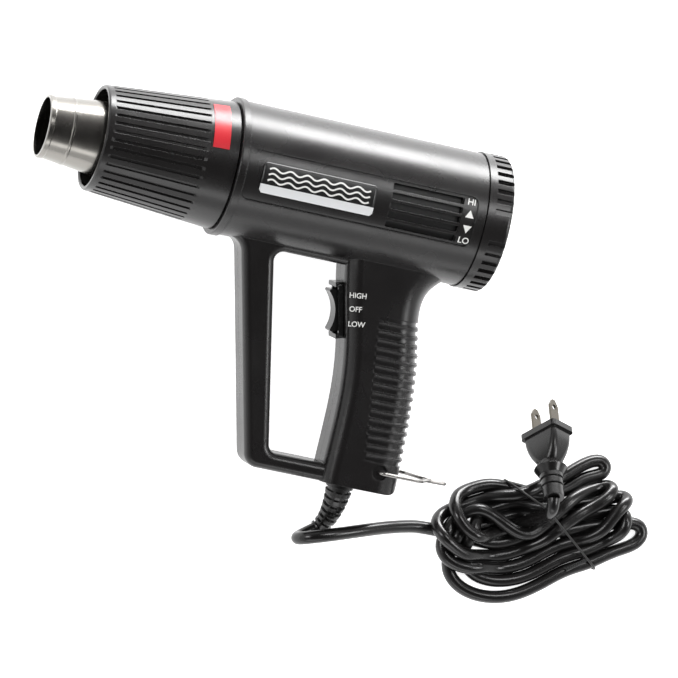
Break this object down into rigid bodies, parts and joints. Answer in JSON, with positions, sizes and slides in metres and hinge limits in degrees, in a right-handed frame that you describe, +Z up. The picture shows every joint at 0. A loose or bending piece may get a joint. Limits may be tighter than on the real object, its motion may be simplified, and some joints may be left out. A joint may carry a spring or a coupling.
{
  "type": "heat gun",
  "caption": "Corded heat gun with a closed D handle, ribbed nozzle guard, steel nozzle, rocker switch, turning rear air cap, wire stand and a tied mains lead.",
  "frame": {"origin": "on the table under the middle of the gun as it lies on its side", "axes": "+X along the barrel from the nozzle to the rear cap, +Y from the foot of the handle to the barrel, +Z up from the table"},
  "size_m": [0.3802, 0.2352, 0.074],
  "materials": {
    "body_plastic": "satin fine-grained black plastic",
    "guard_plastic": "smooth black heat-resistant plastic",
    "nozzle_steel": "bright drawn stainless steel",
    "zinc_screw": "zinc-plated steel",
    "red_label": "red printed film",
    "label_plate": "printed silver film with a black field",
    "inner_plastic": "plain moulded plastic",
    "switch_plastic": "glossy black plastic",
    "brass_terminal": "brass",
    "stand_wire": "bright steel wire",
    "magnet": "ferrite",
    "shaft_steel": "ground steel",
    "lamination": "steel laminations",
    "copper": "copper",
    "board": "circuit board",
    "mica": "mica board",
    "heater_wire": "resistance wire",
    "ceramic": "unglazed ceramic",
    "cord_pvc": "glossy black flexible PVC",
    "lead_pvc": "insulated wire",
    "tie_wire": "plastic-coated wire",
    "blade_metal": "nickel-plated brass"
  },
  "bodies": {
    "gun": {"housing_left": "body_plastic", "housing_right": "body_plastic", "housing_screws": "zinc_screw", "nozzle": "nozzle_steel", "nozzle_guard": "guard_plastic", "guard_label": "red_label", "name_plate": "label_plate", "intake_plate": "inner_plastic", "switch_body": "switch_plastic", "switch_terminals": "brass_terminal", "motor_can": "zinc_screw", "motor_end_cap": "inner_plastic", "motor_magnets": "magnet", "motor_bushes": "brass_terminal", "motor_mount": "inner_plastic", "rectifier_board": "board", "rectifier_diodes": "inner_plastic", "heater_sleeve": "mica", "heater_support": "mica", "heater_coils": "heater_wire", "heater_plate": "ceramic", "thermal_cutout": "zinc_screw", "air_duct": "mica", "mains_lead": "cord_pvc", "lead_wires": "lead_pvc", "cord_clamp": "inner_plastic", "cord_clamp_screws": "zinc_screw", "strain_relief": "cord_pvc", "cord": "cord_pvc", "cord_hank": "cord_pvc", "cord_tie": "tie_wire", "plug_body": "cord_pvc", "plug_blades": "blade_metal"},
    "cap": {"rear_cap": "guard_plastic"},
    "rocker": {"rocker": "switch_plastic"},
    "stand": {"wire_stand": "stand_wire"},
    "rotor": {"motor_shaft": "shaft_steel", "rotor_core": "lamination", "commutator": "copper", "impeller": "inner_plastic"}
  },
  "joints": [
    {"name": "cap_turn", "type": "hinge", "parent": "gun", "child": "cap", "pos_m": [0.1138, 0.05793, 0.037], "axis": [1, 0, 0], "range_deg": [-25, 25]},
    {"name": "rocker_tip", "type": "hinge", "parent": "gun", "child": "rocker", "pos_m": [0.0502, -0.00254, 0.02901], "axis": [0, 0.1309, -0.9914], "range_deg": [-9, 9]},
    {"name": "stand_swing", "type": "hinge", "parent": "gun", "child": "stand", "pos_m": [0.0873, -0.08186, 0.01854], "axis": [0, 0.1309, -0.9914], "range_deg": [-45, 45]},
    {"name": "rotor_spin", "type": "hinge", "parent": "gun", "child": "rotor", "pos_m": [0.0608, 0.05793, 0.037], "axis": [1, 0, 0], "continuous": true}
  ]
}
